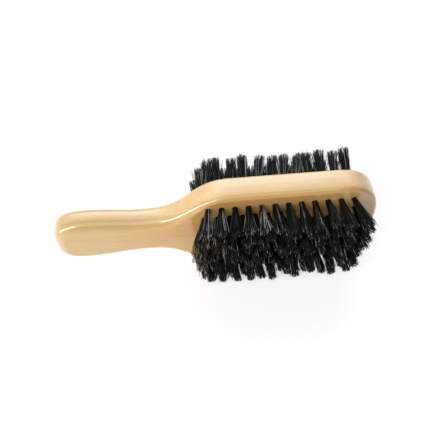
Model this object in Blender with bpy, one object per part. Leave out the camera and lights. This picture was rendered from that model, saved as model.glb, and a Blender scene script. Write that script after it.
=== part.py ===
"""Two-sided dry brush: a one-piece wooden body with bristle tufts set in blind holes on both faces.

The brush stands on the long side edge of its head. +X runs from the handle to the head, the two
bristle faces look along -Y (front) and +Y (back), and +Z is up, across the width of the head.
The origin is under the middle of the brush, on the surface it stands on. Lengths are in metres.
"""

import math

import bmesh
import bpy
from mathutils import Matrix, Vector

MM = 0.001

# Wooden body, seen square on to a bristle face. "At" is a distance from the handle's tip.
LENGTH = 178 * MM
THICKNESS = 15.2 * MM
HEAD_HALF_WIDTH = 31.5 * MM
GRIP_HALF_WIDTH = 15.6 * MM
WAIST_HALF_WIDTH = 12.8 * MM
GRIP_AT = 18.2 * MM
WAIST_AT = 48.7 * MM
SHOULDER_AT = 97.5 * MM
NOSE_LENGTH = 25.8 * MM
GRIP_END_POWER = 2.85
NOSE_POWER = 2.8
NECK_START_POWER = 2.2
NECK_END_POWER = 2

# Rounding of the two long rims, larger on the handle and blended along the neck.
GRIP_EDGE_RADIUS = 5.9 * MM
HEAD_EDGE_RADIUS = 2.6 * MM
BLEND_START_AT = 55 * MM
BLEND_END_AT = 90 * MM
RIM_STEPS = 4
SHARP_ANGLE = math.radians(30)

# Steps along each stretch of the outline.
GRIP_STEPS = 11
WAIST_STEPS = 7
NECK_STEPS = 14
NOSE_STEPS = 14

# Drilling, the same on both faces: staggered rows whose ends follow the oval of the head.
ROWS = 7
EVEN_ROW_TUFTS = 12
ODD_ROW_TUFTS = 13
OUTER_ROW_FIRST_AT = 83.6 * MM
OUTER_ROW_LAST_AT = 161.9 * MM
OUTER_ROW_OFFSET = 22.8 * MM
MIDDLE_ROW_REACH = 3.6 * MM
HOLE_RADIUS = 1.8 * MM
HOLE_DEPTH = 6 * MM
GAP = 0.3 * MM
SIDES = 6

# Tufts: round in the hole, then fanning out into a flat-topped brush tip.
BRISTLE_LENGTH = 17.3 * MM
TIP_HALF_WIDTH = 4.1 * MM
TIP_OVERLAP = 1.12
END_LEAN = math.radians(8)
NOSE_LEAN = math.radians(4)
OUTER_ROW_LEAN = math.radians(12.5)

FACES = {"front": -1, "back": 1}
CUTTER_CLEARANCE = 1 * MM

HONEY_WOOD = (0.62, 0.4, 0.19)
BLACK_BRISTLE = (0.012, 0.012, 0.014)


def clear_scene():
    for obj in list(bpy.data.objects):
        bpy.data.objects.remove(obj)


def new_collection(name):
    collection = bpy.data.collections.new(name)
    bpy.context.scene.collection.children.link(collection)
    return collection


def new_material(name, colour, roughness):
    material = bpy.data.materials.new(name)
    material.use_nodes = True
    shader = material.node_tree.nodes["Principled BSDF"]
    shader.inputs["Base Color"].default_value = (*colour, 1)
    shader.inputs["Roughness"].default_value = roughness
    shader.inputs["Metallic"].default_value = 0
    return material


def new_object(name, mesh, collection):
    obj = bpy.data.objects.new(name, mesh)
    collection.objects.link(obj)
    return obj


def superellipse(quarter_turn, power):
    """Cosine and sine legs of a superellipse quarter, at 0 to 1 of the quarter turn."""
    angle = quarter_turn * math.pi / 2
    return abs(math.cos(angle)) ** (2 / power), math.sin(angle) ** (2 / power)


def half_outline():
    """(distance from the handle's tip, half width), from the handle's tip to the head's nose."""
    points = []
    for i in range(GRIP_STEPS + 1):
        across, along = superellipse(i / GRIP_STEPS, GRIP_END_POWER)
        points.append((GRIP_AT * (1 - across), GRIP_HALF_WIDTH * along))
    for i in range(1, WAIST_STEPS + 1):
        t = i / WAIST_STEPS
        ease = (1 - math.cos(math.pi * t)) / 2
        half_width = GRIP_HALF_WIDTH + (WAIST_HALF_WIDTH - GRIP_HALF_WIDTH) * ease
        points.append((GRIP_AT + (WAIST_AT - GRIP_AT) * t, half_width))
    for i in range(1, NECK_STEPS + 1):
        t = i / NECK_STEPS
        rise = t**NECK_START_POWER
        ease = rise / (rise + (1 - t) ** NECK_END_POWER)
        half_width = WAIST_HALF_WIDTH + (HEAD_HALF_WIDTH - WAIST_HALF_WIDTH) * ease
        points.append((WAIST_AT + (SHOULDER_AT - WAIST_AT) * t, half_width))
    for i in range(NOSE_STEPS + 1):
        across, along = superellipse(i / NOSE_STEPS, NOSE_POWER)
        points.append((LENGTH - NOSE_LENGTH * (1 - along), HEAD_HALF_WIDTH * across))
    return points


def rim_radius(at):
    """Edge radius at a distance from the handle's tip."""
    t = (at - BLEND_START_AT) / (BLEND_END_AT - BLEND_START_AT)
    t = min(max(t, 0), 1)
    ease = t * t * (3 - 2 * t)
    return GRIP_EDGE_RADIUS + (HEAD_EDGE_RADIUS - GRIP_EDGE_RADIUS) * ease


def rim_rings():
    """Rings of (x, y, z) round the whole outline, from the back face over the rims to the front."""
    upper = half_outline()
    outline = upper + [(at, -half_width) for at, half_width in reversed(upper[1:-1])]
    points = [Vector((at, half_width)) for at, half_width in outline]
    rings = []
    for side in (1, -1):
        for i in range(RIM_STEPS + 1):
            step = RIM_STEPS - i if side > 0 else i
            turn = math.radians(90) * step / RIM_STEPS
            ring = []
            for j, point in enumerate(points):
                along = points[(j + 1) % len(points)] - points[j - 1]
                inward = Vector((along.y, -along.x)).normalized()
                radius = rim_radius(point.x)
                inset = point + inward * radius * (1 - math.cos(turn))
                y = side * (THICKNESS / 2 - radius + radius * math.sin(turn))
                ring.append((inset.x - LENGTH / 2, y, inset.y + HEAD_HALF_WIDTH))
            rings.append(ring)
    return rings


def make_body(collection, hole_cutter):
    """Lofted through the rim rings, because the rims' radius changes along the neck."""
    bm = bmesh.new()
    loops = [[bm.verts.new(place) for place in ring] for ring in rim_rings()]
    for loop, following in zip(loops, loops[1:]):
        for j in range(len(loop)):
            bm.faces.new((loop[j - 1], loop[j], following[j], following[j - 1]))
    bm.faces.new(loops[0])
    bm.faces.new(loops[-1])
    bmesh.ops.recalc_face_normals(bm, faces=bm.faces)
    mesh = bpy.data.meshes.new("wooden_body")
    bm.to_mesh(mesh)
    bm.free()
    mesh.shade_smooth()
    mesh.set_sharp_from_angle(angle=SHARP_ANGLE)
    mesh.materials.append(new_material("lacquered_wood", HONEY_WOOD, 0.3))
    body = new_object("wooden_body", mesh, collection)
    drilling = body.modifiers.new("drilling", "BOOLEAN")
    drilling.operation = "DIFFERENCE"
    drilling.solver = "EXACT"
    drilling.object = hole_cutter
    return body


def row_places(row):
    """(x, row offset, -1 to 1 along the row) of each tuft; offsets are across the head."""
    offset = OUTER_ROW_OFFSET * (1 - 2 * row / (ROWS - 1))
    count = ODD_ROW_TUFTS if row % 2 else EVEN_ROW_TUFTS
    reach = MIDDLE_ROW_REACH * (1 - (offset / OUTER_ROW_OFFSET) ** 2)
    first = OUTER_ROW_FIRST_AT - reach - LENGTH / 2
    last = OUTER_ROW_LAST_AT + reach - LENGTH / 2
    places = []
    for i in range(count):
        t = i / (count - 1)
        places.append((first + (last - first) * t, offset, 2 * t - 1))
    return places


def face_matrix(side):
    """Stands +Z of a local frame out of the front (-1) or back (1) face, at mid width."""
    turn = Matrix.Rotation(math.radians(-90) * side, 4, "X")
    return Matrix.Translation((0, side * THICKNESS / 2, HEAD_HALF_WIDTH)) @ turn


def make_hole_cutter(collection):
    bm = bmesh.new()
    depth = HOLE_DEPTH + CUTTER_CLEARANCE
    for side in FACES.values():
        for row in range(ROWS):
            for x, offset, _ in row_places(row):
                centre = Vector((x, -side * offset, CUTTER_CLEARANCE - depth / 2))
                bmesh.ops.create_cone(
                    bm,
                    cap_ends=True,
                    segments=SIDES,
                    radius1=HOLE_RADIUS,
                    radius2=HOLE_RADIUS,
                    depth=depth,
                    matrix=face_matrix(side) @ Matrix.Translation(centre),
                )
    mesh = bpy.data.meshes.new("hole_cutter")
    bm.to_mesh(mesh)
    bm.free()
    cutter = new_object("hole_cutter", mesh, collection)
    cutter.hide_render = True
    cutter.display_type = "WIRE"
    return cutter


def add_tuft(bm, x, y, lean_x, lean_y, tip_half_length):
    """A tuft in a face's local frame: a stub in the hole, its top extruded into the fanned tip."""
    flat_to_corner = math.cos(math.pi / SIDES)
    root_radius = HOLE_RADIUS - GAP / flat_to_corner
    stub = HOLE_DEPTH - GAP
    made = bmesh.ops.create_cone(
        bm,
        cap_ends=True,
        segments=SIDES,
        radius1=root_radius,
        radius2=root_radius,
        depth=stub,
        matrix=Matrix.Translation((x, y, -stub / 2)),
    )
    faces = {face for vert in made["verts"] for face in vert.link_faces}
    top = max(faces, key=lambda face: face.calc_center_median().z)
    fan = bmesh.ops.extrude_discrete_faces(bm, faces=[top])["faces"][0]
    widen = Vector((tip_half_length / (root_radius * flat_to_corner), TIP_HALF_WIDTH / root_radius, 1))
    to_tuft = Matrix.Translation((-x, -y, 0))
    bmesh.ops.scale(bm, vec=widen, space=to_tuft, verts=fan.verts)
    reach = Vector((math.tan(lean_x), math.tan(lean_y), 1)) * BRISTLE_LENGTH
    bmesh.ops.translate(bm, vec=reach, verts=fan.verts)


def tufts_mesh(name, side, places):
    spread = 2 * BRISTLE_LENGTH * math.tan(END_LEAN)
    tip_span = places[-1][0] - places[0][0] + spread
    tip_half_length = TIP_OVERLAP * tip_span / (len(places) - 1) / 2
    meshes = []
    for start in (0, 1):
        bm = bmesh.new()
        for x, offset, t in places[start::2]:
            lean_y = -side * OUTER_ROW_LEAN * offset / OUTER_ROW_OFFSET
            add_tuft(bm, x, -side * offset, NOSE_LEAN + END_LEAN * t, lean_y, tip_half_length)
        bm.transform(face_matrix(side))
        mesh = bpy.data.meshes.new(name)
        bm.to_mesh(mesh)
        bm.free()
        meshes.append(mesh)
    return meshes


def make_bristle_row(name, side, row, collection, cutters, material):
    """Every other tuft is one mesh, and a union joins them where neighbouring tips meet."""
    first, second = tufts_mesh(name, side, row_places(row))
    bristles = new_object(name, first, collection)
    first.materials.append(material)
    neighbours = new_object(name + "_neighbours", second, cutters)
    neighbours.hide_render = True
    neighbours.display_type = "WIRE"
    joined = bristles.modifiers.new("tips_meet", "BOOLEAN")
    joined.operation = "UNION"
    joined.solver = "EXACT"
    joined.object = neighbours
    return bristles


def main():
    clear_scene()
    brush = new_collection("dry_brush")
    cutters = new_collection("cutters")
    make_body(brush, make_hole_cutter(cutters))
    for face, side in FACES.items():
        material = new_material(face + "_bristle", BLACK_BRISTLE, 0.55)
        for row in range(ROWS):
            name = f"{face}_bristle_row_{row + 1}"
            make_bristle_row(name, side, row, brush, cutters, material)


main()
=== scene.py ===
"""Looks of the two-sided dry brush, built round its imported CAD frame.

The brush stands on the long side edge of its head. +X runs from the handle to the head's nose, the
bristle faces look along -Y (front) and +Y (back), and +Z is up. Lengths are in metres.
"""

import math

import bmesh
import bpy
import numpy as np
from mathutils import Matrix, Vector


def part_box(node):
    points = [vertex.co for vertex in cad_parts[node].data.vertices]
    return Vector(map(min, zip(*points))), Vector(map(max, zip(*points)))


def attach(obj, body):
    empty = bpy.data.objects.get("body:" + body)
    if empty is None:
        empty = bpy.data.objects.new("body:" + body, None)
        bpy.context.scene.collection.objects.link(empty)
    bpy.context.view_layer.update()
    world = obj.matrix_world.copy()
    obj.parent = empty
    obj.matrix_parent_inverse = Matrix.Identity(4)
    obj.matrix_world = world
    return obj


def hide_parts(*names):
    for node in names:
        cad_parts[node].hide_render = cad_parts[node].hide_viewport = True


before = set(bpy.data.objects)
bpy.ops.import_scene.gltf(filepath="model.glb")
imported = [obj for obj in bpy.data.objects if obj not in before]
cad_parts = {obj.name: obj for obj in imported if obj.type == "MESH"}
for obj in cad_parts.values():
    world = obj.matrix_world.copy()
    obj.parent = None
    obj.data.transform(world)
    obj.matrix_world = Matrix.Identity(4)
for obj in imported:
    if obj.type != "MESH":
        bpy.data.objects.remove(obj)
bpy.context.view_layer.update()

MM = 0.001
SEED = 20

# The wooden body, drawn as part.py draws it, in the CAD body's box.
BODY_LOW, BODY_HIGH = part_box("wooden_body")
BODY_MIDDLE = (BODY_LOW + BODY_HIGH) / 2
LENGTH = BODY_HIGH.x - BODY_LOW.x
THICKNESS = BODY_HIGH.y - BODY_LOW.y
HEAD_HALF_WIDTH = (BODY_HIGH.z - BODY_LOW.z) / 2
GRIP_HALF_WIDTH = 15.6 * MM
WAIST_HALF_WIDTH = 12.8 * MM
GRIP_AT = 18.2 * MM
WAIST_AT = 48.7 * MM
SHOULDER_AT = 97.5 * MM
NOSE_LENGTH = 25.8 * MM
GRIP_END_POWER = 2.85
NOSE_POWER = 2.8
NECK_START_POWER = 2.2
NECK_END_POWER = 2
GRIP_EDGE_RADIUS = 5.9 * MM
HEAD_EDGE_RADIUS = 2.6 * MM
BLEND_START_AT = 55 * MM
BLEND_END_AT = 90 * MM

# Finer steps than the CAD body's.
GRIP_STEPS = 44
WAIST_STEPS = 20
NECK_STEPS = 56
NOSE_STEPS = 56
RIM_STEPS = 14
CROWN_STEPS = 8
CROWN_TURN = math.radians(4)
FLAT_MARGIN = 0.3 * MM
SHARP_ANGLE = math.radians(32)

# Drilling.
ROWS = 7
EVEN_ROW_TUFTS = 12
ODD_ROW_TUFTS = 13
OUTER_ROW_FIRST_AT = 83.6 * MM
OUTER_ROW_LAST_AT = 161.9 * MM
OUTER_ROW_OFFSET = 22.8 * MM
MIDDLE_ROW_REACH = 3.6 * MM
HOLE_RADIUS = 1.55 * MM
HOLE_CHAMFER = 0.18 * MM
HOLE_DEPTH = 6 * MM
HOLE_SIDES = 18
CUTTER_CLEARANCE = 0.5 * MM

# Tufts. Row 0 is the one by the top edge, and tuft 0 is the one by the handle.
FACES = {"front": -1, "back": 1}
HAIRS = {"front": 165, "back": 140}
BACK_TOP_HAIRS = 215
HAIR_RINGS = 6
HAIR_SIDES = 3
HAIR_RADIUS = 0.14 * MM
HAIR_TIP_RADIUS = 0.09 * MM
HAIR_THICKNESS = (0.75, 1.15)
ROOT_RADIUS = 1.3 * MM
ROOT_DEPTH = 5.2 * MM
BRISTLE_LENGTH = 17.3 * MM
BOTTOM_ROW_TRIM = 1.0 * MM
TUFT_LENGTH_SPREAD = 0.45 * MM
SPLAYED_RAGGED = 0.8 * MM
CORE_RAGGED = 0.22 * MM
SHORT_SHARE = 0.1
MOST_SHORTENED = 4 * MM
BOTTOM_RAGGED_SHARE = 0.5
CORE_VARIATION = 0.1
TOP_ROW_WANDER = 1.5
LOWER_ROW_WANDER = 2.6
TOP_ROW_FAN = 1.1
LOWER_ROW_FAN = 0.8
FEWEST_LOCKS = 3
MOST_LOCKS = 5
LOCK_REACH = (0.35, 0.75)
LOCK_GATHER = (0.1, 0.45)
LOCK_GROWTH = 1.6
BOW = 0.28 * MM
STRAY_SHARE = 0.045
STRAY_REACH = (0.6, 2.4)
GREY_STRAYS = 0.35
TAPER = 1.5

# Share of splayed hairs, their least and most flare, and the least and most flare of a tuft's core.
# A flare is how many times further from its tuft's middle a hair ends than it starts.
SPREADS = {
    "top": (0.6, (1.9, 4.3), (1.75, 2.4)),
    "middle": (0.45, (1.7, 3.3), (1.75, 2.4)),
    "handle_end": (0.5, (2.4, 4.6), (3.0, 3.0)),
    "bottom": (0.3, (1.7, 2.7), (1.65, 2.0)),
    "back_top": (0.35, (1.9, 4.3), (2.0, 2.6)),
    "back": (0.35, (1.7, 3.3), (2.0, 2.6)),
}
HANDLE_END_TUFTS = 3

# Leans towards the nose, in degrees, of the tufts that stand up behind the top edge.
BACK_TOP_LEANS = (8, 0, 5, 2, 9, 10, 9, 12, 3, 0, 4, 5)

# Tones of the hairs: main, brown-black, grey, straw and dull grey, in the order of the materials.
TONES = 5
GREY = 2
FRONT_TOP_GREYS = {0: 0.09, 1: 0.08, 3: 0.03, 4: 0.03, 5: 0.04, 7: 0.04}
FRONT_TOP_OTHER_GREYS = 0.015
STRAW_ROWS = (2, 3, 4)
FORKED_TUFTS = (3, 4)
FORKED_HAIRS = 9
FORKED_REACH = (0.6, 3.4)
FORK_TURN = 0.5
TIP_FADE = 3.5 * MM

# Wood tones and painted shade: the front face is warmer and darker towards the head, a warmer tone
# with painted shade from the bristles, and much darker at the nose as painted shadow of the
# bristles; the grip duller.
FRONT_WARMTH_AND_SHADE = (0.95, 0.79, 0.51)
NOSE_PAINTED_SHADE = (0.52, 0.4, 0.25)
GRIP_TINT = (0.91, 0.92, 0.89)

# Anchors.
ANCHOR_LENGTH = 3.4 * MM
ANCHOR_WIDTH = 1.5 * MM
ANCHOR_THICKNESS = 0.32 * MM
ANCHOR_DEPTH = 4.4 * MM
ANCHOR_SAG = 0.35 * MM
ANCHOR_STEPS = 6

# Studio. The glow is a soft patch of light high behind the brush.
FLOOR_RADIUS = 4.0
FLOOR_SIDES = 96
FLOOR_GLOW = 0.67
GLOW_ELEVATION = math.radians(40)
GLOW_REACH = 0.58
GLOW_DEPTH = 0.29
GLOW_STRENGTH = 5.2
HORIZON_DEPTH = 0.3
HORIZON_STRENGTH = 0.6
WORLD_STRENGTH = 0.06
LIGHT_DISTANCE = 1.0
LEFT_DIRECTION = (-0.75, -0.48, 0.48)
LEFT_SIZE = (1.0, 0.19)
LEFT_ALONG = (-0.52, 0.11, -0.47)
LEFT_POWER = 8.6
FRONT_DIRECTION = (-0.1, -0.35, 0.93)
FRONT_SIZE = (1.0, 0.6)
FRONT_POWER = 2.6

# The photograph's camera, from a fit to the outline, the rims and the tuft rows.
CAMERA_ELEVATION = math.radians(55)
CAMERA_YAW = math.radians(7.417)
CAMERA_ROLL = math.radians(1.445)
CAMERA_DISTANCE = 325.17 * MM
CAMERA_LENS = 48.29
CAMERA_SHIFT = (-0.00264, 0.01873)
CAMERA_CLIP = (0.01, 20)


def superellipse(quarter_turn, power):
    """Cosine and sine legs of a superellipse quarter, at 0 to 1 of the quarter turn."""
    angle = quarter_turn * math.pi / 2
    return abs(math.cos(angle)) ** (2 / power), math.sin(angle) ** (2 / power)


def half_outline():
    """(distance from the handle's tip, half width), from the handle's tip to the head's nose."""
    points = []
    for i in range(GRIP_STEPS + 1):
        across, along = superellipse(i / GRIP_STEPS, GRIP_END_POWER)
        points.append((GRIP_AT * (1 - across), GRIP_HALF_WIDTH * along))
    for i in range(1, WAIST_STEPS + 1):
        t = i / WAIST_STEPS
        ease = (1 - math.cos(math.pi * t)) / 2
        half_width = GRIP_HALF_WIDTH + (WAIST_HALF_WIDTH - GRIP_HALF_WIDTH) * ease
        points.append((GRIP_AT + (WAIST_AT - GRIP_AT) * t, half_width))
    for i in range(1, NECK_STEPS + 1):
        t = i / NECK_STEPS
        rise = t**NECK_START_POWER
        ease = rise / (rise + (1 - t) ** NECK_END_POWER)
        half_width = WAIST_HALF_WIDTH + (HEAD_HALF_WIDTH - WAIST_HALF_WIDTH) * ease
        points.append((WAIST_AT + (SHOULDER_AT - WAIST_AT) * t, half_width))
    for i in range(NOSE_STEPS + 1):
        across, along = superellipse(i / NOSE_STEPS, NOSE_POWER)
        points.append((LENGTH - NOSE_LENGTH * (1 - along), HEAD_HALF_WIDTH * across))
    return points


def rim_radius(at):
    """Edge radius at a distance from the handle's tip."""
    t = (at - BLEND_START_AT) / (BLEND_END_AT - BLEND_START_AT)
    t = min(max(t, 0), 1)
    ease = t * t * (3 - 2 * t)
    return GRIP_EDGE_RADIUS + (HEAD_EDGE_RADIUS - GRIP_EDGE_RADIUS) * ease


def inset_ring(points, y_at, inset_at):
    """The outline moved inwards and along Y, each by an amount set by the local rim radius."""
    ring = []
    for j, point in enumerate(points):
        along = points[(j + 1) % len(points)] - points[j - 1]
        inward = Vector((along.y, -along.x)).normalized()
        radius = rim_radius(point.x)
        inset = point + inward * inset_at(radius)
        y = BODY_MIDDLE.y + y_at(radius)
        ring.append((BODY_LOW.x + inset.x, y, BODY_MIDDLE.z + inset.y))
    return ring


def rim_ring(points, side, turn, margin=0):
    """One loop of the rim, at a turn from the side strip (0) to the flat face (90 degrees)."""

    def y_at(radius):
        return side * (THICKNESS / 2 - radius * (1 - math.sin(turn)))

    def inset_at(radius):
        crown = strip_half_width(radius) * math.tan(CROWN_TURN) / 2
        return crown + radius * (math.cos(CROWN_TURN) - math.cos(turn)) + margin

    return inset_ring(points, y_at, inset_at)


def strip_half_width(radius):
    return THICKNESS / 2 - radius * (1 - math.sin(CROWN_TURN))


def crown_ring(points, across):
    """One loop of the slightly crowned side strip, at -1 to 1 across it."""

    def y_at(radius):
        return strip_half_width(radius) * across

    def inset_at(radius):
        return strip_half_width(radius) * math.tan(CROWN_TURN) / 2 * across**2

    return inset_ring(points, y_at, inset_at)


def rim_rings():
    upper = half_outline()
    outline = upper + [(at, -half_width) for at, half_width in reversed(upper[1:-1])]
    points = [Vector((at, half_width)) for at, half_width in outline]
    quarter = math.pi / 2
    turns = [quarter + (CROWN_TURN - quarter) * i / RIM_STEPS for i in range(RIM_STEPS + 1)]
    rings = [rim_ring(points, 1, quarter, FLAT_MARGIN)]
    rings += [rim_ring(points, 1, turn) for turn in turns]
    rings += [crown_ring(points, 1 - 2 * i / CROWN_STEPS) for i in range(1, CROWN_STEPS)]
    rings += [rim_ring(points, -1, turn) for turn in reversed(turns)]
    rings.append(rim_ring(points, -1, quarter, FLAT_MARGIN))
    return rings


def row_places(row):
    """(x, row offset, -1 to 1 along the row) of each tuft; offsets are across the head."""
    offset = OUTER_ROW_OFFSET * (1 - 2 * row / (ROWS - 1))
    count = ODD_ROW_TUFTS if row % 2 else EVEN_ROW_TUFTS
    reach = MIDDLE_ROW_REACH * (1 - (offset / OUTER_ROW_OFFSET) ** 2)
    first = BODY_LOW.x + OUTER_ROW_FIRST_AT - reach
    last = BODY_LOW.x + OUTER_ROW_LAST_AT + reach
    places = []
    for i in range(count):
        t = i / (count - 1)
        places.append((first + (last - first) * t, offset, 2 * t - 1))
    return places


def face_point(side, x, offset, out):
    """A point in the row frame from a place along, across and out of the front or back face."""
    return (x, BODY_MIDDLE.y + side * (THICKNESS / 2 + out), BODY_MIDDLE.z + offset)


def link(obj):
    bpy.context.scene.collection.objects.link(obj)
    return obj


def add_hole(bm, side, x, offset):
    """A closed drill shape with a small countersink at the face."""
    flare = HOLE_RADIUS + HOLE_CHAMFER + CUTTER_CLEARANCE
    profile = [(HOLE_RADIUS, -HOLE_DEPTH), (HOLE_RADIUS, -HOLE_CHAMFER), (flare, CUTTER_CLEARANCE)]
    loops = []
    for radius, out in profile:
        loop = []
        for k in range(HOLE_SIDES):
            turn = 2 * math.pi * k / HOLE_SIDES
            along, across = radius * math.cos(turn), radius * math.sin(turn)
            loop.append(bm.verts.new(face_point(side, x + along, offset + across, out)))
        loops.append(loop)
    for loop, following in zip(loops, loops[1:]):
        for k in range(HOLE_SIDES):
            bm.faces.new((loop[k - 1], loop[k], following[k], following[k - 1]))
    bm.faces.new(loops[0])
    bm.faces.new(loops[-1])


def make_body(material):
    bm = bmesh.new()
    loops = [[bm.verts.new(place) for place in ring] for ring in rim_rings()]
    for loop, following in zip(loops, loops[1:]):
        for j in range(len(loop)):
            bm.faces.new((loop[j - 1], loop[j], following[j], following[j - 1]))
    bm.faces.new(loops[0])
    bm.faces.new(loops[-1])
    bmesh.ops.recalc_face_normals(bm, faces=bm.faces)
    blank = bpy.data.meshes.new("body_blank")
    bm.to_mesh(blank)
    bm.free()
    bm = bmesh.new()
    for side in FACES.values():
        for row in range(ROWS):
            for x, offset, _ in row_places(row):
                add_hole(bm, side, x, offset)
    bmesh.ops.recalc_face_normals(bm, faces=bm.faces)
    drill_mesh = bpy.data.meshes.new("drill")
    bm.to_mesh(drill_mesh)
    bm.free()
    drill = link(bpy.data.objects.new("drill", drill_mesh))
    body = link(bpy.data.objects.new("lacquered_body", blank))
    drilling = body.modifiers.new("drilling", "BOOLEAN")
    drilling.operation = "DIFFERENCE"
    drilling.solver = "EXACT"
    drilling.object = drill
    made = body.evaluated_get(bpy.context.evaluated_depsgraph_get())
    mesh = bpy.data.meshes.new_from_object(made)
    body.modifiers.clear()
    body.data = mesh
    bpy.data.objects.remove(drill)
    bpy.data.meshes.remove(drill_mesh)
    bpy.data.meshes.remove(blank)
    mesh.name = "lacquered_body"
    mesh.shade_smooth()
    mesh.set_sharp_from_angle(angle=SHARP_ANGLE)
    mesh.materials.clear()
    mesh.materials.append(material)
    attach(body, "root")
    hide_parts("wooden_body")


class Nodes:
    """The node tree of a material or a world, with short ways to add and join nodes."""

    def __init__(self, owner, shader):
        owner.use_nodes = True
        self.owner = owner
        self.tree = owner.node_tree
        self.shader = self.tree.nodes[shader]

    def set(self, **inputs):
        """Puts a value or a link on each of the shader's sockets named."""
        for name, value in inputs.items():
            self.put(value, self.shader.inputs[name.replace("_", " ")])

    def add(self, kind, **inputs):
        node = self.tree.nodes.new("ShaderNode" + kind)
        for name, value in inputs.items():
            socket = node.inputs[name.replace("_", " ")]
            self.put(value, socket)
        return node

    def put(self, value, socket):
        if isinstance(value, bpy.types.NodeSocket):
            self.tree.links.new(value, socket)
        elif isinstance(value, (tuple, list)) and len(socket.default_value) == 4:
            socket.default_value = (*value, 1) if len(value) == 3 else value
        else:
            socket.default_value = value

    def noise(self, vector, scale, detail=2, roughness=0.5):
        made = self.add(
            "TexNoise", Vector=vector, Scale=scale, Detail=detail, Roughness=roughness
        )
        return made.outputs["Fac"]

    def stretched(self, vector, scale):
        return self.add("Mapping", Vector=vector, Scale=scale).outputs["Vector"]

    def math(self, operation, first, second=0.0):
        node = self.tree.nodes.new("ShaderNodeMath")
        node.operation = operation
        for value, socket in zip((first, second), node.inputs):
            self.put(value, socket)
        return node.outputs[0]

    def dot(self, vector, axis):
        node = self.tree.nodes.new("ShaderNodeVectorMath")
        node.operation = "DOT_PRODUCT"
        self.put(vector, node.inputs[0])
        self.put(axis, node.inputs[1])
        return node.outputs["Value"]

    def bell(self, offset, width):
        """1 where the offset is 0, falling smoothly to about a third at the width."""
        scaled = self.math("DIVIDE", offset, width)
        square = self.math("MULTIPLY", scaled, scaled)
        return self.math("EXPONENT", self.math("MULTIPLY", square, -1.0))

    def ramp(self, value, *stops):
        """stops are (place, grey level) or (place, colour)."""
        node = self.add("ValToRGB", Fac=value)
        elements = node.color_ramp.elements
        while len(elements) < len(stops):
            elements.new(0.5)
        for element, (place, colour) in zip(elements, stops):
            element.position = place
            grey = isinstance(colour, (int, float))
            element.color = (colour, colour, colour, 1) if grey else (*colour, 1)
        return node.outputs["Color"]

    def mix(self, factor, first, second, blend="MIX"):
        node = self.tree.nodes.new("ShaderNodeMix")
        node.data_type = "RGBA"
        node.blend_type = blend
        self.put(factor, node.inputs[0])
        self.put(first, node.inputs[6])
        self.put(second, node.inputs[7])
        return node.outputs[2]

    def bump(self, height, strength, distance, normal=None):
        node = self.add("Bump", Height=height, Strength=strength, Distance=distance)
        if normal is not None:
            self.put(normal, node.inputs["Normal"])
        return node.outputs["Normal"]


def new_material(name):
    return Nodes(bpy.data.materials.new(name), "Principled BSDF")


def lacquered_wood():
    """Pale beech with fine lengthwise grain, short ray flecks and a clear gloss coat; the front
    face has painted shade towards the head and a painted shadow at the nose.
    """
    n = new_material("lacquered_wood")
    place = n.add("TexCoord").outputs["Object"]
    drift = n.add("TexNoise", Vector=n.stretched(place, (9, 30, 30)), Scale=1.0, Detail=2.0)
    shifted = n.add("VectorMath")
    shifted.operation = "MULTIPLY_ADD"
    for value, socket in zip((drift.outputs["Color"], (0.0, 0.006, 0.006), place), shifted.inputs):
        n.put(value, socket)
    grain_place = shifted.outputs["Vector"]
    bands = n.noise(n.stretched(grain_place, (2.5, 130, 210)), 1.0, 3, 0.55)
    fibres = n.noise(n.stretched(grain_place, (45, 1500, 1500)), 1.0, 3, 0.6)
    flecks = n.noise(n.stretched(place, (330, 2300, 2300)), 1.0, 1, 0.5)
    clouds = n.noise(n.stretched(place, (14, 40, 40)), 1.0, 2, 0.5)
    tone = n.ramp(
        bands,
        (0.3, (0.625, 0.41, 0.18)),
        (0.5, (0.67, 0.452, 0.214)),
        (0.72, (0.71, 0.495, 0.255)),
    )
    cloudy = n.ramp(clouds, (0.35, (0.645, 0.405, 0.172)), (0.65, (0.715, 0.51, 0.275)))
    fibrous = n.ramp(fibres, (0.32, (0.62, 0.5, 0.38)), (0.6, 1.0))
    flecked = n.ramp(flecks, (0.27, (0.55, 0.4, 0.27)), (0.36, 1.0))
    tone = n.mix(0.4, tone, cloudy)
    tone = n.mix(0.2, tone, fibrous, "MULTIPLY")
    tone = n.mix(0.25, tone, flecked, "MULTIPLY")
    # 0 to 1 from the middle of the board to its front face, and from the handle's tip to the nose.
    spot = n.add("SeparateXYZ", Vector=place).outputs
    depth = n.math("MULTIPLY", n.math("SUBTRACT", BODY_MIDDLE.y, spot["Y"]), 2 / THICKNESS)
    along = n.math("MULTIPLY", n.math("SUBTRACT", spot["X"], BODY_LOW.x), 1 / LENGTH)
    # Painted shade: the front face, from its rim inwards, is made warmer and darker from the neck
    # to the nose, where the bristles shade it.
    warmth_and_shade_mask = n.ramp(depth, (0.55, 0.0), (1.0, 1.0))
    warmth_and_shade_mask = n.mix(1.0, warmth_and_shade_mask, n.ramp(along, (0.14, 0.35), (0.34, 1.0)), "MULTIPLY")
    # Towards the nose the tint turns much darker: a painted shadow of the bristles on the front
    # face.
    warmth_and_shade_tint = n.ramp(along, (0.85, FRONT_WARMTH_AND_SHADE), (1.0, NOSE_PAINTED_SHADE))
    tone = n.mix(warmth_and_shade_mask, tone, n.mix(1.0, tone, warmth_and_shade_tint, "MULTIPLY"))
    tone = n.mix(1.0, tone, n.ramp(along, (0.12, GRIP_TINT), (0.32, 1.0)), "MULTIPLY")
    waves = n.noise(place, 160, 2, 0.5)
    n.set(
        Base_Color=tone,
        Roughness=n.ramp(fibres, (0.3, 0.4), (0.7, 0.28)),
        Normal=n.bump(waves, 0.12, 0.0004, n.bump(fibres, 0.12, 0.0002)),
        Specular_IOR_Level=0.25,
        Coat_Weight=1.0,
        Coat_Roughness=0.12,
        Coat_IOR=1.6,
    )
    return n.owner


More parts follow.
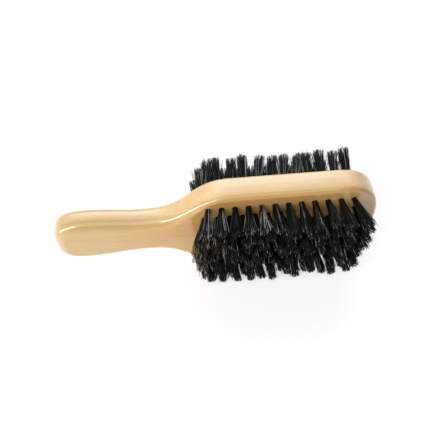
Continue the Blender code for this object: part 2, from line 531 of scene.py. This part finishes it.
def bristle(name, dark, light, tip, roughness, specular):
    """A natural hair: streaky along its length, paler at its tip, a little uneven in gloss."""
    n = new_material(name)
    place = n.add("TexCoord").outputs["Object"]
    streaks = n.noise(n.stretched(place, (2600, 260, 2600)), 1.0, 2, 0.6)
    patches = n.noise(place, 220, 2, 0.5)
    tone = n.mix(n.ramp(streaks, (0.35, 0.0), (0.68, 1.0)), dark, light)
    across = n.add("SeparateXYZ", Vector=place).outputs["Y"]
    out = n.math("ABSOLUTE", n.math("SUBTRACT", across, BODY_MIDDLE.y))
    nearness = n.math("SUBTRACT", out, THICKNESS / 2 + BRISTLE_LENGTH - TIP_FADE)
    fade = n.math("MAXIMUM", n.math("MULTIPLY", nearness, 1 / TIP_FADE), 0.0)
    specks = n.ramp(n.noise(place, 1400, 1, 0.5), (0.45, 0.0), (0.62, 1.0))
    tone = n.mix(n.math("MULTIPLY", fade, specks), tone, tip)
    n.set(
        Base_Color=n.mix(1.0, tone, n.ramp(patches, (0.3, 0.6), (0.7, 1.0)), "MULTIPLY"),
        Roughness=n.ramp(streaks, (0.3, roughness - 0.08), (0.7, roughness + 0.1)),
        Normal=n.bump(streaks, 0.15, 0.00005),
        Specular_IOR_Level=specular,
    )
    return n.owner


def bristle_materials():
    """The front's and the back's materials, each in the order of the tones."""
    black = bristle(
        "black_bristle",
        dark=(0.0015, 0.0015, 0.0016),
        light=(0.0048, 0.006, 0.0056),
        tip=(0.019, 0.021, 0.02),
        roughness=0.45,
        specular=0.13,
    )
    blue_black = bristle(
        "blue_black_bristle",
        dark=(0.004, 0.0062, 0.0085),
        light=(0.0145, 0.0205, 0.0265),
        tip=(0.04, 0.05, 0.06),
        roughness=0.42,
        specular=0.25,
    )
    brown = bristle(
        "brown_black_bristle",
        dark=(0.008, 0.0055, 0.0035),
        light=(0.024, 0.017, 0.01),
        tip=(0.07, 0.055, 0.035),
        roughness=0.45,
        specular=0.2,
    )
    grey = bristle(
        "grey_bristle",
        dark=(0.38, 0.37, 0.35),
        light=(0.72, 0.71, 0.68),
        tip=(0.75, 0.73, 0.7),
        roughness=0.4,
        specular=0.4,
    )
    straw = bristle(
        "straw_bristle",
        dark=(0.4, 0.33, 0.2),
        light=(0.65, 0.56, 0.36),
        tip=(0.7, 0.62, 0.42),
        roughness=0.42,
        specular=0.4,
    )
    dull = bristle(
        "dull_grey_bristle",
        dark=(0.03, 0.031, 0.03),
        light=(0.1, 0.1, 0.097),
        tip=(0.12, 0.118, 0.115),
        roughness=0.42,
        specular=0.35,
    )
    shared = (brown, grey, straw, dull)
    return {"front": (black, *shared), "back": (blue_black, *shared)}


def anchor_metal():
    n = new_material("anchor_wire")
    place = n.add("TexCoord").outputs["Object"]
    scuffs = n.noise(n.stretched(place, (900, 3000, 900)), 1.0, 3, 0.6)
    n.set(
        Base_Color=n.ramp(scuffs, (0.3, (0.5, 0.48, 0.44)), (0.7, (0.74, 0.71, 0.66))),
        Roughness=n.ramp(scuffs, (0.3, 0.45), (0.7, 0.28)),
        Normal=n.bump(scuffs, 0.2, 0.00005),
        Metallic=1.0,
    )
    return n.owner


def tone_shares(face, row, tuft):
    """Shares of the tones in a tuft, in their order."""
    brown, grey, straw, dull = 0.07, 0.01, 0.004, 0.04
    if face == "back":
        brown, grey = 0.03, 0.07
    elif row == 0:
        dull = 0.16
        grey = FRONT_TOP_GREYS.get(tuft, FRONT_TOP_OTHER_GREYS)
    elif row in STRAW_ROWS and tuft == 0:
        straw = 0.16
    return [1 - brown - grey - straw - dull, brown, grey, straw, dull]


def tuft_lean(face, row, tuft, t):
    """Leans towards the nose and the top edge, in degrees, at -1 to 1 along a row.

    The leans follow the photograph: tufts fan out at both ends of a row and droop a little below.
    """
    up = 1 - 2 * row / (ROWS - 1)
    end = abs(t) ** 4
    if face == "back":
        if row == 0:
            return BACK_TOP_LEANS[tuft], 1 + 5 * up
        return 5 + 2 * t - (7 * end if t < 0 else 0), 1 + 5 * up
    along = 2 - 3 * up + (2 + 2 * up) * t
    if t < 0:
        along -= end * max(8 - 8 * (up - 0.1) ** 2, 2)
    else:
        along += end * min(7.5 + 7 * up, 8.5)
    droop = {ROWS - 2: 3.5, ROWS - 1: -2}.get(row, 0)
    return along, -1.2 + 3.6 * up - 2.2 * up**2 - droop


def spread_kind(face, row, tuft):
    if face == "back":
        return "back_top" if row == 0 else "back"
    if row == 0:
        return "top"
    if row == ROWS - 1:
        return "bottom"
    return "handle_end" if tuft < HANDLE_END_TUFTS else "middle"


def hair_lengths(rng, face, bottom, splayed):
    """Lengths of a tuft's hairs: ragged at the tip, with a few cut short."""
    hairs = len(splayed)
    tuft_length = BRISTLE_LENGTH + rng.normal(0, TUFT_LENGTH_SPREAD)
    if face == "front" and bottom:
        tuft_length -= BOTTOM_ROW_TRIM
    share = BOTTOM_RAGGED_SHARE if bottom else 1
    length = tuft_length - rng.exponential(np.where(splayed, SPLAYED_RAGGED, CORE_RAGGED) * share)
    short = rng.uniform(0, 1, hairs) < SHORT_SHARE * share
    return length - short * rng.uniform(0, MOST_SHORTENED, hairs)


def lock_pulls(rng, disc, bottom):
    """How far each hair, at a place in the tuft's unit disc, is drawn to its lock at the tip."""
    locks = rng.integers(FEWEST_LOCKS, MOST_LOCKS + 1)
    turns = rng.uniform(0, 2 * math.pi) + np.arange(locks) * 2 * math.pi / locks
    centres = np.stack([np.cos(turns), np.sin(turns)], 1) * rng.uniform(*LOCK_REACH, (locks, 1))
    gaps = disc[:, None, :] - centres[None, :, :]
    nearest = np.argmin((gaps**2).sum(2), 1)
    gather = rng.uniform(*LOCK_GATHER, len(disc)) * (BOTTOM_RAGGED_SHARE if bottom else 1)
    return (centres[nearest] - disc) * gather[:, None]


def tuft_hairs(rng, face, row, tuft, place):
    """Centre lines (hair, ring, along-across-out), radii and tones of one tuft's hairs."""
    hairs = BACK_TOP_HAIRS if face == "back" and row == 0 else HAIRS[face]
    bottom = row == ROWS - 1
    x, offset, t = place
    wander = TOP_ROW_WANDER if row == 0 else LOWER_ROW_WANDER
    leans = []
    for lean in tuft_lean(face, row, tuft, t):
        leans.append(math.tan(math.radians(lean + rng.normal(0, wander))))
    # Some hairs make a firm core and the rest splay out of it.
    loose, splay, core = SPREADS[spread_kind(face, row, tuft)]
    core = rng.uniform(*core) * np.exp(rng.normal(0, CORE_VARIATION, hairs))
    splayed = rng.uniform(0, 1, hairs) < loose
    flare = np.where(splayed, rng.uniform(*splay, hairs), core)
    turn = rng.uniform(0, 2 * math.pi, hairs)
    reach = np.sqrt(rng.uniform(0, 1, hairs))
    disc = np.stack([np.cos(turn) * reach, np.sin(turn) * reach], 1)
    length = hair_lengths(rng, face, bottom, splayed)
    pull = lock_pulls(rng, disc, bottom)
    bow_turn = rng.uniform(0, 2 * math.pi, hairs)
    bow = rng.normal(0, BOW, hairs)
    stray = (rng.uniform(0, 1, hairs) < STRAY_SHARE) * rng.uniform(*STRAY_REACH, hairs) * MM
    stray_turn = rng.uniform(0, 2 * math.pi, hairs)
    tones = rng.choice(TONES, hairs, p=tone_shares(face, row, tuft))
    if face == "front" and row == 0 and tuft in FORKED_TUFTS:
        forked = np.arange(hairs) < FORKED_HAIRS
        stray = np.where(forked, rng.uniform(*FORKED_REACH, hairs) * MM, stray)
        sides = rng.choice((FORK_TURN, math.pi - FORK_TURN), hairs)
        stray_turn = np.where(forked, sides, stray_turn)
        tones[forked] = GREY
    tones[(stray > 0) & (rng.uniform(0, 1, hairs) < GREY_STRAYS)] = GREY
    thick = rng.uniform(*HAIR_THICKNESS, hairs)
    # Ring 0 is the root, down in the hole, and ring 1 is where the hair leaves the face.
    rings = np.zeros((hairs, HAIR_RINGS, 3))
    radii = np.zeros((hairs, HAIR_RINGS))
    rings[:, 0, :2] = np.array((x, offset)) + disc * ROOT_RADIUS
    rings[:, 0, 2] = -ROOT_DEPTH
    radii[:, 0] = HAIR_RADIUS * thick
    bow_way = np.stack([np.cos(bow_turn), np.sin(bow_turn)], 1)
    stray_way = np.stack([np.cos(stray_turn), np.sin(stray_turn)], 1)
    fan = TOP_ROW_FAN if row == 0 else LOWER_ROW_FAN
    for k in range(1, HAIR_RINGS):
        s = (k - 1) / (HAIR_RINGS - 2)
        out = length * s
        widen = (1 + (flare - 1) * s**fan)[:, None]
        spot = (disc + s**LOCK_GROWTH * pull) * ROOT_RADIUS * widen
        spot = spot + np.array((x, offset)) + out[:, None] * np.array(leans)
        spot = spot + bow_way * (bow * math.sin(math.pi * s))[:, None]
        rings[:, k, :2] = spot + stray_way * (stray * s**2)[:, None]
        rings[:, k, 2] = out
        radii[:, k] = (HAIR_RADIUS + (HAIR_TIP_RADIUS - HAIR_RADIUS) * s**TAPER) * thick
    return rings, radii, tones


def tube_faces(count):
    """Side quads and end caps, as vertex numbers, of a number of hairs laid out ring by ring."""
    ring = np.arange(HAIR_SIDES)
    following = (ring + 1) % HAIR_SIDES
    quads = []
    for k in range(HAIR_RINGS - 1):
        low, high = k * HAIR_SIDES, (k + 1) * HAIR_SIDES
        quads.append(np.stack([low + ring, low + following, high + following, high + ring], 1))
    caps = np.stack([ring[::-1], (HAIR_RINGS - 1) * HAIR_SIDES + ring])
    starts = (np.arange(count) * HAIR_RINGS * HAIR_SIDES)[:, None, None]
    quads = (np.concatenate(quads)[None] + starts).reshape(-1, 4)
    return quads, (caps[None] + starts).reshape(-1, HAIR_SIDES)


def make_bristles(face, row, materials):
    """One row's hairs as thin closed tubes in one piece."""
    side = FACES[face]
    rng = np.random.default_rng([SEED, row, side + 1])
    made = [tuft_hairs(rng, face, row, i, place) for i, place in enumerate(row_places(row))]
    lines, sizes, tones = (np.concatenate(part) for part in zip(*made))
    turn = rng.uniform(0, 2 * math.pi, (len(lines), 1, 1))
    turn = turn + np.arange(HAIR_SIDES)[None, None, :] * 2 * math.pi / HAIR_SIDES
    along = lines[:, :, None, 0] + sizes[:, :, None] * np.cos(turn)
    across = lines[:, :, None, 1] + sizes[:, :, None] * np.sin(turn)
    out = np.broadcast_to(lines[:, :, None, 2], along.shape)
    verts = np.stack(face_point(side, along, across, out), -1).reshape(-1, 3)
    quads, caps = tube_faces(len(lines))
    if side < 0:
        quads, caps = quads[:, ::-1], caps[:, ::-1]
    name = f"{face}_bristles_row_{row + 1}"
    mesh = bpy.data.meshes.new(name)
    mesh.from_pydata(verts.tolist(), [], quads.tolist() + caps.tolist())
    quad_tones = np.repeat(tones, HAIR_SIDES * (HAIR_RINGS - 1))
    face_tones = np.concatenate([quad_tones, np.repeat(tones, 2)])
    mesh.polygons.foreach_set("material_index", face_tones.astype(np.int32))
    mesh.shade_smooth()
    for material in materials:
        mesh.materials.append(material)
    hairs = link(bpy.data.objects.new(name, mesh))
    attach(hairs, "root")
    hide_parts(f"{face}_bristle_row_{row + 1}")


def make_anchors(face, row, material):
    """The flat wire that pins each tuft in its hole, bowed a little where it bites."""
    side = FACES[face]
    bm = bmesh.new()
    for x, offset, _ in row_places(row):
        loops = []
        for i in range(ANCHOR_STEPS + 1):
            t = 2 * i / ANCHOR_STEPS - 1
            out = -ANCHOR_DEPTH - ANCHOR_SAG * (1 - t * t)
            half = ANCHOR_THICKNESS / 2
            corners = ((-half, -ANCHOR_WIDTH), (half, -ANCHOR_WIDTH), (half, 0), (-half, 0))
            loop = []
            for across, down in corners:
                spot = face_point(side, x + t * ANCHOR_LENGTH / 2, offset + across, out + down)
                loop.append(bm.verts.new(spot))
            loops.append(loop)
        for loop, following in zip(loops, loops[1:]):
            for k in range(4):
                bm.faces.new((loop[k - 1], loop[k], following[k], following[k - 1]))
        bm.faces.new(loops[0])
        bm.faces.new(loops[-1])
    bmesh.ops.recalc_face_normals(bm, faces=bm.faces)
    name = f"{face}_anchors_row_{row + 1}"
    mesh = bpy.data.meshes.new(name)
    bm.to_mesh(mesh)
    bm.free()
    mesh.materials.append(material)
    anchors = link(bpy.data.objects.new(name, mesh))
    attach(anchors, "root")


def make_floor():
    bm = bmesh.new()
    bmesh.ops.create_circle(bm, cap_ends=True, radius=FLOOR_RADIUS, segments=FLOOR_SIDES)
    mesh = bpy.data.meshes.new("floor")
    bm.to_mesh(mesh)
    bm.free()
    floor = link(bpy.data.objects.new("floor", mesh))
    floor.location.z = BODY_LOW.z
    n = new_material("pale_floor")
    mottle = n.noise(n.add("TexCoord").outputs["Object"], 3, 2, 0.5)
    n.set(
        Base_Color=n.ramp(mottle, (0.3, 0.4), (0.7, 0.42)),
        Roughness=0.9,
        Specular_IOR_Level=0.0,
        Emission_Color=(1, 1, 1),
        Emission_Strength=FLOOR_GLOW,
    )
    mesh.materials.append(n.owner)


def add_light(name, direction, size, power, along=(1, 0, 0)):
    """An area light that faces the brush; its longer side lies along the given direction."""
    data = bpy.data.lights.new(name, "AREA")
    data.shape = "RECTANGLE"
    data.size, data.size_y = size
    data.energy = power
    light = link(bpy.data.objects.new(name, data))
    towards = Vector(direction).normalized()
    up = towards.cross(Vector(along)).normalized()
    turn = Matrix((up.cross(towards), up, towards)).transposed().to_4x4()
    light.matrix_world = Matrix.Translation(BODY_MIDDLE + towards * LIGHT_DISTANCE) @ turn


def make_world():
    """A soft glow behind the brush and a pale horizon, on a dim, even surround."""
    n = Nodes(bpy.data.worlds.new("soft_studio"), "Background")
    direction = n.add("TexCoord").outputs["Generated"]
    rise, level = math.sin(GLOW_ELEVATION), math.cos(GLOW_ELEVATION)
    sideways = n.bell(n.dot(direction, (1, 0, 0)), GLOW_REACH)
    upwards = n.bell(n.dot(direction, (0, -rise, level)), GLOW_DEPTH)
    forwards = n.math("MAXIMUM", n.dot(direction, (0, level, rise)), 0.0)
    glow = n.math("MULTIPLY", n.math("MULTIPLY", sideways, upwards), forwards)
    horizon = n.bell(n.dot(direction, (0, 0, 1)), HORIZON_DEPTH)
    total = n.math("ADD", n.math("MULTIPLY", glow, GLOW_STRENGTH), WORLD_STRENGTH)
    total = n.math("ADD", n.math("MULTIPLY", horizon, HORIZON_STRENGTH), total)
    n.set(Color=(1, 1, 1), Strength=total)
    bpy.context.scene.world = n.owner


def make_studio():
    make_floor()
    make_world()
    add_light("left_strip", LEFT_DIRECTION, LEFT_SIZE, LEFT_POWER, LEFT_ALONG)
    add_light("front_fill", FRONT_DIRECTION, FRONT_SIZE, FRONT_POWER)
    bpy.context.scene.view_settings.view_transform = "Standard"
    bpy.context.scene.view_settings.look = "None"


def make_camera():
    data = bpy.data.cameras.new("camera")
    data.lens = CAMERA_LENS
    data.shift_x, data.shift_y = CAMERA_SHIFT
    data.clip_start, data.clip_end = CAMERA_CLIP
    camera = link(bpy.data.objects.new("camera", data))
    sine, cosine = math.sin(CAMERA_YAW), math.cos(CAMERA_YAW)
    level, rise = math.cos(CAMERA_ELEVATION), math.sin(CAMERA_ELEVATION)
    back = Vector((-sine * level, -cosine * level, rise))
    right = Vector((cosine, -sine, 0))
    up = back.cross(right)
    rolled_right = right * math.cos(CAMERA_ROLL) + up * math.sin(CAMERA_ROLL)
    rolled_up = up * math.cos(CAMERA_ROLL) - right * math.sin(CAMERA_ROLL)
    turn = Matrix((rolled_right, rolled_up, back)).transposed().to_4x4()
    camera.matrix_world = Matrix.Translation(BODY_MIDDLE + back * CAMERA_DISTANCE) @ turn
    bpy.context.scene.camera = camera


def main():
    make_camera()
    make_studio()
    make_body(lacquered_wood())
    metal = anchor_metal()
    materials = bristle_materials()
    for face in FACES:
        for row in range(ROWS):
            make_bristles(face, row, materials[face])
            make_anchors(face, row, metal)


main()
